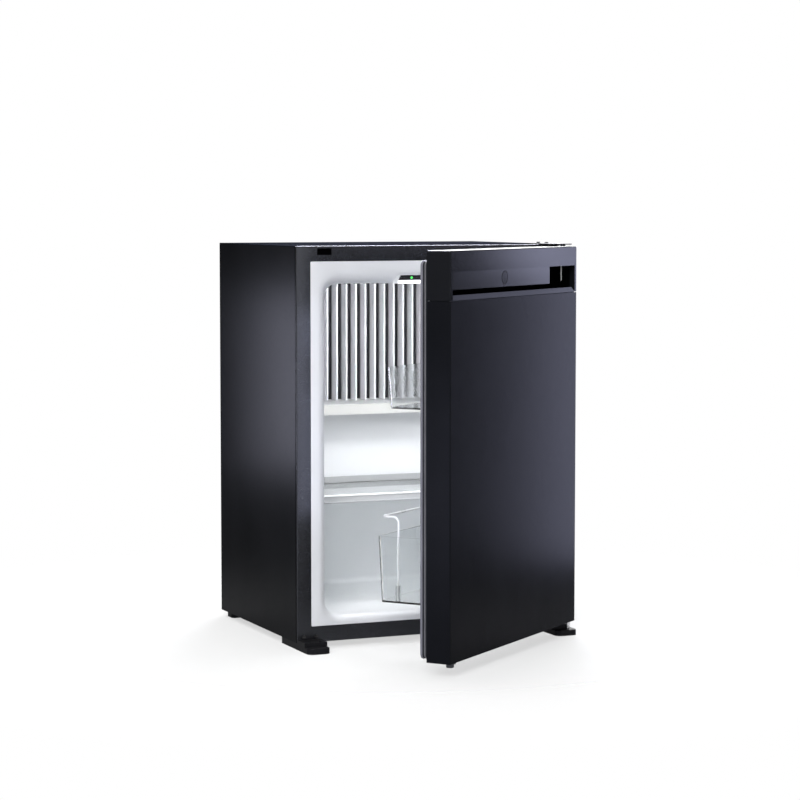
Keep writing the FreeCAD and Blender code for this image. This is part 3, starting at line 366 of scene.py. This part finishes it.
def dusty_paint(name, paint, dust, amount):
    """Black paint of the unit, with dust lying on what faces up."""
    s = Shader(name)
    facing = s.node("ShaderNodeSeparateXYZ")
    s.link(s.node("ShaderNodeNewGeometry").outputs["Normal"], facing.inputs["Vector"])
    patches = s.noise(scale=60.0, detail=5.0, rough=0.7)
    level = s.ramp(facing.outputs["Z"], span=(0.1, 1.0), out=(0.1, 1.0))
    cover = s.ramp(patches, span=(0.35, 0.75), out=(0.0, amount))
    s.colour(s.mix(s.combine("MULTIPLY", level, cover), paint, dust))
    s.roughness(patches, rough=(0.3, 0.6))
    s.bump(s.noise(scale=500.0), distance=0.00012)
    return s.material


def first_along(node, direction):
    """How far along a direction a node starts."""
    return min(corner.co.dot(direction) for corner in frame["nodes"][node].data.vertices)


def last_along(node, direction):
    """How far along a direction a node ends."""
    return max(corner.co.dot(direction) for corner in frame["nodes"][node].data.vertices)


# Recesses with painted shade, each as directions and how far along them the shade starts
recess_top = (DOWN, -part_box("handle_plate")[1].z)
cap_shaded_recess = (recess_top,
              (DOOR_INWARD, first_along("handle_cap", DOOR_INWARD) + CAP_RECESS_DEPTH),
              (DOOR_ACROSS, first_along("handle_cap", DOOR_ACROSS) + CAP_RECESS_SIDE))
plate_shaded_recess = ((DOOR_INWARD, first_along("handle_plate", DOOR_INWARD) + PLATE_RECESS_DEPTH),)
frame_shaded_recess = ((BACK, first_along("front_frame", BACK) + FRAME_RECESS_DEPTH),)

# Tones, grain and its depth that the mouldings of the handle share
HANDLE_MOULDING = dict(dark=(0.0065, 0.007, 0.0085), light=(0.0105, 0.011, 0.013),
                       grain=1100.0, depth=0.000005)

# Finishes by name: how each is made, and from what
FINISH_VALUES = {
    "panel_paint": (grained, dict(dark=(0.0042, 0.0045, 0.0056), light=(0.0115, 0.012, 0.0142),
                                  rough=(0.28, 0.33), grain=1500.0, depth=0.000006, specular=0.018)),
    "door_paint": (grained, dict(dark=(0.0045, 0.005, 0.0064), light=(0.0095, 0.01, 0.0125),
                                 rough=(0.2, 0.235), grain=1500.0, depth=0.000004, specular=0.022)),
    # The frame, cap and plate carry painted shade in their recesses
    "frame_plastic": (grained, dict(dark=(0.006, 0.006, 0.0068), light=(0.0105, 0.0105, 0.0118),
                                    rough=(0.2, 0.24), grain=900.0, depth=0.000006, specular=0.34,
                                    recess=frame_shaded_recess)),
    "handle_plastic": (grained, dict(HANDLE_MOULDING, rough=(0.15, 0.18), specular=0.048)),
    "cap_plastic": (grained, dict(HANDLE_MOULDING, rough=(0.15, 0.18), specular=0.048,
                                  recess=cap_shaded_recess)),
    "plate_plastic": (grained, dict(HANDLE_MOULDING, rough=(0.17, 0.2), specular=0.066,
                                    recess=plate_shaded_recess)),
    "liner_plastic": (white_sheet, dict(dark=(0.785, 0.8, 0.82), light=(0.85, 0.86, 0.88),
                                        rough=(0.28, 0.38))),
    "foam": (foam, dict(dark=(0.74, 0.66, 0.42), light=(0.86, 0.8, 0.6))),
    # The fins' darkest tone is painted shade between them
    "fin_metal": (finned, dict(node="evaporator_fins", dark=(0.86, 0.86, 0.9), light=(0.93, 0.93, 0.96),
                               deep=(0.03, 0.03, 0.036), rough=(0.34, 0.48), stretch=(900.0, 900.0, 30.0))),
    "clear_plastic": (clear, dict(tint=(0.92, 0.94, 0.95), worn=(0.97, 0.98, 0.98),
                                  rough=(0.02, 0.07), ior=1.49)),
    "shelf_glass": (clear, dict(tint=(0.86, 0.94, 0.91), worn=(0.97, 0.98, 0.98),
                                rough=(0.0, 0.03), ior=1.52)),
    "trim_plastic": (white_sheet, dict(dark=(0.4, 0.41, 0.425), light=(0.47, 0.48, 0.49),
                                       rough=(0.36, 0.46))),
    "gasket_rubber": (soft_seal, dict(dark=(0.014, 0.015, 0.018), light=(0.026, 0.028, 0.033))),
    # The gasket's rubber, painted much paler on its bulb and lip as painted highlights
    "seal_bulb": (soft_seal, dict(dark=(0.17, 0.17, 0.2), light=(0.21, 0.21, 0.245))),
    "seal_lip": (soft_seal, dict(dark=(0.14, 0.14, 0.15), light=(0.19, 0.19, 0.2))),
    "magnet_strip": (grained, dict(dark=(0.05, 0.042, 0.038), light=(0.1, 0.085, 0.075),
                                   rough=(0.6, 0.75), grain=800.0, depth=0.0001, specular=0.4)),
    "wire_paint": (white_sheet, dict(dark=(0.78, 0.79, 0.8), light=(0.87, 0.875, 0.88),
                                     rough=(0.25, 0.35))),
    "control_gloss": (gloss_strip, dict(dark=(0.004, 0.004, 0.005), light=(0.009, 0.009, 0.011))),
    "status_green": (lamp, dict(edge=(0.03, 0.5, 0.06), middle=(0.1, 0.85, 0.16),
                                strength=0.9, scale=900.0)),
    "diffuser_white": (lamp, dict(edge=(0.93, 0.95, 1.0), middle=(1.0, 1.0, 1.0),
                                  strength=1.6, scale=120.0)),
    "hinge_steel": (brushed, dict(dark=(0.45, 0.45, 0.46), light=(0.62, 0.62, 0.63), rough=(0.28, 0.4),
                                  stretch=(900.0, 900.0, 60.0))),
    "black_steel": (grained, dict(dark=(0.008, 0.008, 0.009), light=(0.014, 0.014, 0.0155),
                                  rough=(0.4, 0.5), grain=1300.0, depth=0.00005, specular=0.03)),
    # Top panel: the side paint made matte, painted paler and bluer as a painted sheen
    "matt_paint": (grained, dict(dark=(0.011, 0.0122, 0.0165), light=(0.018, 0.02, 0.027),
                                 rough=(0.5, 0.6), grain=1500.0, depth=0.00004, specular=0.0)),
    "foot_plastic": (grained, dict(dark=(0.006, 0.006, 0.0066), light=(0.011, 0.011, 0.012),
                                   rough=(0.4, 0.5), grain=800.0, depth=0.00002, specular=0.06)),
    "rear_paint": (dusty_paint, dict(paint=(0.008, 0.0083, 0.0095), dust=(0.1, 0.097, 0.09), amount=0.6)),
    "sealing_film": (grained, dict(dark=(0.006, 0.006, 0.0065), light=(0.011, 0.011, 0.012),
                                   rough=(0.5, 0.6), grain=700.0, depth=0.0001, specular=0.2)),
    "screw_steel": (brushed, dict(dark=(0.02, 0.02, 0.021), light=(0.05, 0.05, 0.052), rough=(0.3, 0.45),
                                  stretch=(700.0, 700.0, 700.0))),
    "bush_plastic": (grained, dict(dark=(0.02, 0.02, 0.022), light=(0.034, 0.034, 0.037),
                                   rough=(0.4, 0.5), grain=900.0, depth=0.00006, specular=0.45)),
    "unit_paint": (dusty_paint, dict(paint=(0.012, 0.012, 0.013), dust=(0.12, 0.115, 0.105), amount=0.5)),
    "unit_fin": (dusty_paint, dict(paint=(0.014, 0.014, 0.015), dust=(0.13, 0.125, 0.115), amount=0.6)),
    "strap_zinc": (brushed, dict(dark=(0.4, 0.4, 0.39), light=(0.6, 0.6, 0.58), rough=(0.35, 0.55),
                                 stretch=(30.0, 700.0, 700.0))),
    "service_plastic": (grained, dict(dark=(0.016, 0.016, 0.017), light=(0.03, 0.03, 0.032),
                                      rough=(0.45, 0.58), grain=800.0, depth=0.0001, specular=0.45)),
    "white_service": (white_sheet, dict(dark=(0.62, 0.62, 0.6), light=(0.74, 0.74, 0.72),
                                        rough=(0.42, 0.55))),
}
FINISHES = {name: make(name, **values) for name, (make, values) in FINISH_VALUES.items()}

# Nodes whose finish differs from that of their slot
OWN_FINISHES = {
    "front_foot_left": "foot_plastic",
    "front_foot_right": "foot_plastic",
    "rear_foot_left": "foot_plastic",
    "rear_foot_right": "foot_plastic",
    "door_bottom_cap": "foot_plastic",
    "handle_cap": "cap_plastic",
    "handle_plate": "plate_plastic",
    "top_panel": "matt_paint",
    "rear_panel": "rear_paint",
    "upper_hinge_plate": "black_steel",
    "hinge_screws": "black_steel",
    "door_foam": "sealing_film",
}


def dress_nodes():
    """Gives every node of the model its own finish or that of its material slot."""
    for entry in frame["record"]["subparts"]:
        node = entry["node"]
        mesh = frame["nodes"][node].data
        mesh.materials.clear()
        mesh.materials.append(FINISHES[OWN_FINISHES.get(node, entry["material_slot"])])


# Small pieces of the door

def add_piece(name, body, finish, points, faces):
    """A smooth mesh that rides on a body, in a given finish."""
    mesh = bpy.data.meshes.new(name)
    mesh.from_pydata(points, [], faces)
    mesh.materials.append(FINISHES[finish])
    mesh.shade_smooth()
    piece = bpy.data.objects.new(name, mesh)
    bpy.context.scene.collection.objects.link(piece)
    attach(piece, body)


def loft(rings):
    """Points and faces of a closed skin over rings with the same number of points."""
    count = len(rings[0])
    points = [point for ring in rings for point in ring]
    faces = [tuple(range(count))[::-1], tuple(range(len(points) - count, len(points)))]
    for low in range(0, len(points) - count, count):
        for k in range(count):
            after = (k + 1) % count
            faces.append((low + k, low + after, low + count + after, low + count + k))
    return points, faces


def tube(path, radius):
    """Points and faces of a round bead along a closed path of places and the ways outward there."""
    points = []
    faces = []
    for i, (place, outward) in enumerate(path):
        here = i * TUBE_SIDES
        ahead = (i + 1) % len(path) * TUBE_SIDES
        for k in range(TUBE_SIDES):
            around = 2 * math.pi * k / TUBE_SIDES
            beside = (k + 1) % TUBE_SIDES
            points.append(place + (outward * math.cos(around) - DOOR_INWARD * math.sin(around)) * radius)
            faces.append((here + k, ahead + k, ahead + beside, here + beside))
    return points, faces


def way_outward(turn):
    """Direction in the plane of the door, turned from the way across it towards up."""
    return DOOR_ACROSS * math.cos(turn) - DOWN * math.sin(turn)


def lock_groove_shade():
    """Thin dark ring in the groove round the lock blank, painted shade of the groove."""
    low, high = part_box("lock_blank")
    centre = (low + high) / 2
    front = first_along("lock_blank", DOOR_INWARD)
    centre += DOOR_INWARD * (front + RING_INSET - centre.dot(DOOR_INWARD))
    path = []
    for i in range(RING_STEPS):
        outward = way_outward(2 * math.pi * i / RING_STEPS)
        path.append((centre + outward * RING_RADIUS, outward))
    points, faces = tube(path, RING_BEAD)
    add_piece("lock_groove_shade", "door", "sealing_film", points, faces)


def pocket_highlight_bead():
    """Pale bead down the back corner of the handle pocket, a painted highlight there, thinned at both ends."""
    place = DOOR_ACROSS * (last_along("handle_cap", DOOR_ACROSS) - BEAD_FROM_EDGE)
    place += DOOR_INWARD * (first_along("handle_cap", DOOR_INWARD) + BEAD_DEPTH)
    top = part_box("handle_plate")[1].z
    rings = []
    for share, width in BEAD_SHAPE_SHARES:
        height = top - BEAD_LENGTH * (1.0 - share)
        ring = []
        for k in range(TUBE_SIDES):
            around = 2 * math.pi * k / TUBE_SIDES
            side = DOOR_ACROSS * math.cos(around) + DOOR_INWARD * math.sin(around)
            ring.append(place + side * BEAD_RADIUS * width - DOWN * height)
        rings.append(ring)
    points, faces = loft(rings)
    # Pale finish, so that the bead shows as a painted highlight
    add_piece("pocket_highlight_bead", "door", "wire_paint", points, faces)


def seal_rib(name, finish, depth, radius, inset):
    """Round rib along the outer side of the door's gasket, at a depth behind its face."""
    low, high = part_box("door_gasket")
    left = first_along("door_gasket", DOOR_ACROSS) + SEAL_CORNER
    right = last_along("door_gasket", DOOR_ACROSS) - SEAL_CORNER
    bottom = low.z + SEAL_CORNER
    top = high.z - SEAL_CORNER
    level = last_along("door_gasket", DOOR_INWARD) - depth
    path = []
    for quarter, (across, up) in enumerate(((right, top), (left, top), (left, bottom), (right, bottom))):
        middle = DOOR_ACROSS * across - DOWN * up + DOOR_INWARD * level
        for i in range(SEAL_STEPS + 1):
            outward = way_outward((quarter + i / SEAL_STEPS) * math.pi / 2)
            path.append((middle + outward * (SEAL_CORNER - inset), outward))
    points, faces = tube(path, radius)
    add_piece(name, "door", finish, points, faces)


# Floor, light and camera

def floor_finish():
    """Thin pale floor that keeps the object's shadow and thins out to nothing at its edge."""
    s = Shader("floor")
    s.colour(s.mix(s.noise(scale=3.0, detail=2.0), FLOOR_DARK, FLOOR_LIGHT))
    s.set(Roughness=FLOOR_ROUGHNESS, Specular_IOR_Level=FLOOR_SPECULAR)
    distance = s.node("ShaderNodeVectorMath", operation="LENGTH")
    s.link(s.place, distance.inputs[0])
    cover = s.ramp(distance.outputs["Value"], FLOOR_SPAN, out=(FLOOR_COVER, 0.0))
    cover.node.interpolation_type = "SMOOTHSTEP"
    s.link(cover, s.principled.inputs["Alpha"])
    return s.material


def make_floor():
    half = FLOOR_SIZE / 2
    mesh = bpy.data.meshes.new("floor")
    corners = [(-half, -half, 0.0), (half, -half, 0.0), (half, half, 0.0), (-half, half, 0.0)]
    mesh.from_pydata(corners, [], [(0, 1, 2, 3)])
    mesh.materials.append(floor_finish())
    floor = bpy.data.objects.new("floor", mesh)
    bpy.context.scene.collection.objects.link(floor)


def make_world():
    """White studio whose two dark flags, one on either side of the camera's view, show in reflections."""
    world = bpy.data.worlds.new("studio")
    bpy.context.scene.world = world
    world.use_nodes = True
    tree = world.node_tree
    flag = tree.nodes["Background"]
    flag.inputs["Color"].default_value = FLAG_TINT
    flag.inputs["Strength"].default_value = FLAG_LEVEL
    sheet = tree.nodes.new("ShaderNodeBackground")
    sheet.inputs["Color"].default_value = SHEET_WHITE
    sheet.inputs["Strength"].default_value = SHEET_LEVEL
    direction = tree.nodes.new("ShaderNodeTexCoord").outputs["Generated"]
    ahead = tree.nodes.new("ShaderNodeVectorMath")
    ahead.operation = "DOT_PRODUCT"
    ahead.inputs[1].default_value = CAMERA_AHEAD
    tree.links.new(direction, ahead.inputs[0])
    parts = tree.nodes.new("ShaderNodeSeparateXYZ")
    tree.links.new(direction, parts.inputs["Vector"])
    white = None
    for value, start, full in ((ahead.outputs["Value"], math.cos(FLAG_INNER[1]), math.cos(FLAG_INNER[0])),
                               (ahead.outputs["Value"], math.cos(FLAG_OUTER[0]), math.cos(FLAG_OUTER[1])),
                               (parts.outputs["Z"], FLAG_FOOT[1], FLAG_FOOT[0])):
        edge = tree.nodes.new("ShaderNodeMapRange")
        edge.inputs["From Min"].default_value = start
        edge.inputs["From Max"].default_value = full
        tree.links.new(value, edge.inputs["Value"])
        white = joined(tree, "MAXIMUM", white, edge.outputs["Result"]) if white else edge.outputs["Result"]
    path = tree.nodes.new("ShaderNodeLightPath")
    seen = joined(tree, "MAXIMUM", path.outputs["Is Camera Ray"], path.outputs["Is Transmission Ray"])
    mirrored = joined(tree, "MULTIPLY", white, path.outputs["Is Glossy Ray"])
    blend = tree.nodes.new("ShaderNodeMixShader")
    tree.links.new(joined(tree, "MAXIMUM", seen, mirrored), blend.inputs["Fac"])
    tree.links.new(flag.outputs["Background"], blend.inputs[1])
    tree.links.new(sheet.outputs["Background"], blend.inputs[2])
    tree.links.new(blend.outputs["Shader"], tree.nodes["World Output"].inputs["Surface"])


def soft_box(name, place, target, size, power, tint=PLAIN, spread=180.0):
    """Area lamp at a place, turned to a target, with its spread in degrees."""
    light = bpy.data.lights.new(name, "AREA")
    light.shape = "RECTANGLE"
    light.size, light.size_y = size
    light.energy = power
    light.color = tint
    light.spread = math.radians(spread)
    box = bpy.data.objects.new(name, light)
    box.location = place
    box.rotation_euler = (Vector(target) - Vector(place)).to_track_quat("-Z", "Y").to_euler()
    box.visible_camera = False
    bpy.context.scene.collection.objects.link(box)


def make_lights():
    for name, values in LAMPS.items():
        soft_box(name, **values)


def make_camera():
    camera = bpy.data.cameras.new("camera")
    camera.sensor_width = CAMERA_SENSOR
    camera.lens = CAMERA_LENS
    rig = bpy.data.objects.new("camera", camera)
    rig.location = CAMERA_PLACE
    rig.rotation_euler = (math.pi / 2 - CAMERA_TILT, 0.0, -CAMERA_YAW)
    bpy.context.scene.collection.objects.link(rig)
    bpy.context.scene.camera = rig


dress_nodes()
lock_groove_shade()
pocket_highlight_bead()
# Real ribs of the gasket, in pale finishes that paint their highlights
seal_rib("gasket_bulb", "seal_bulb", **SEAL_BULB)
seal_rib("gasket_lip", "seal_lip", **SEAL_LIP)
make_floor()
make_world()
make_lights()
make_camera()
bpy.context.scene.view_settings.view_transform = "Standard"
